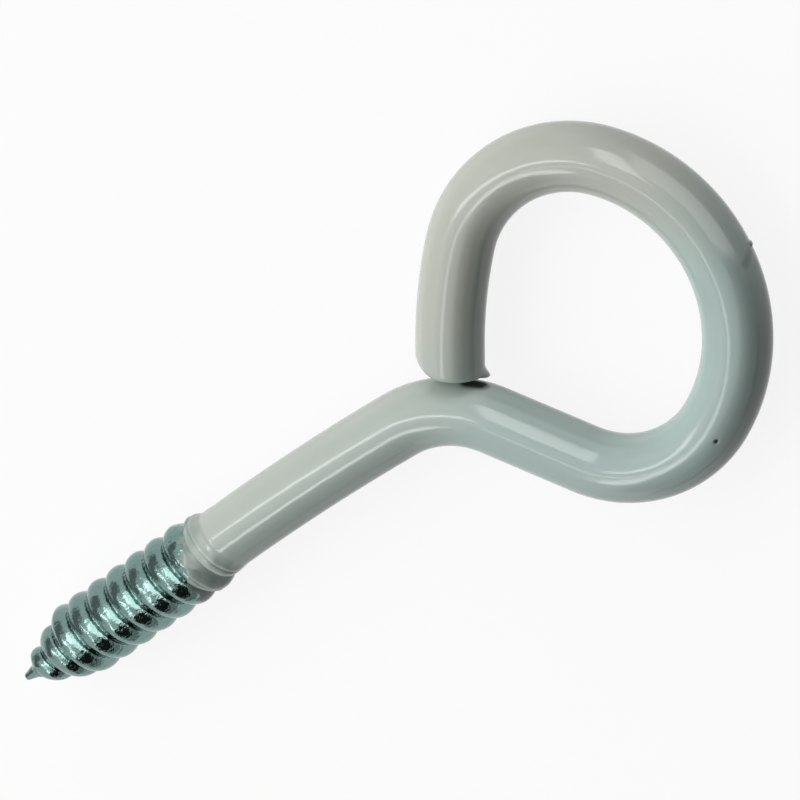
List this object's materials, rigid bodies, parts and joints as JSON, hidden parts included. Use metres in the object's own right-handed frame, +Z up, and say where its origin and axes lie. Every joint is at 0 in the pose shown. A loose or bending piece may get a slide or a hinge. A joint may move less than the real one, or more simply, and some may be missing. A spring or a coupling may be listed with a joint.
{
  "type": "screw eye",
  "caption": "Screw eye bent from one steel wire: closed drop-shaped eye, slightly bowed plain shank, right-hand wood thread with a gimlet point, white paint over zinc.",
  "frame": {"origin": "centre of the part's box, on the surface it lies on", "axes": "+X along the thread from the point to the eye, +Z up out of the plane of the eye"},
  "size_m": [0.0678, 0.0282, 0.0061],
  "materials": {
    "painted_wire": "gloss white paint on the eye and shank, bright bare zinc on the thread and point"
  },
  "bodies": {
    "root": {"screw_eye": "painted_wire"}
  },
  "joints": []
}
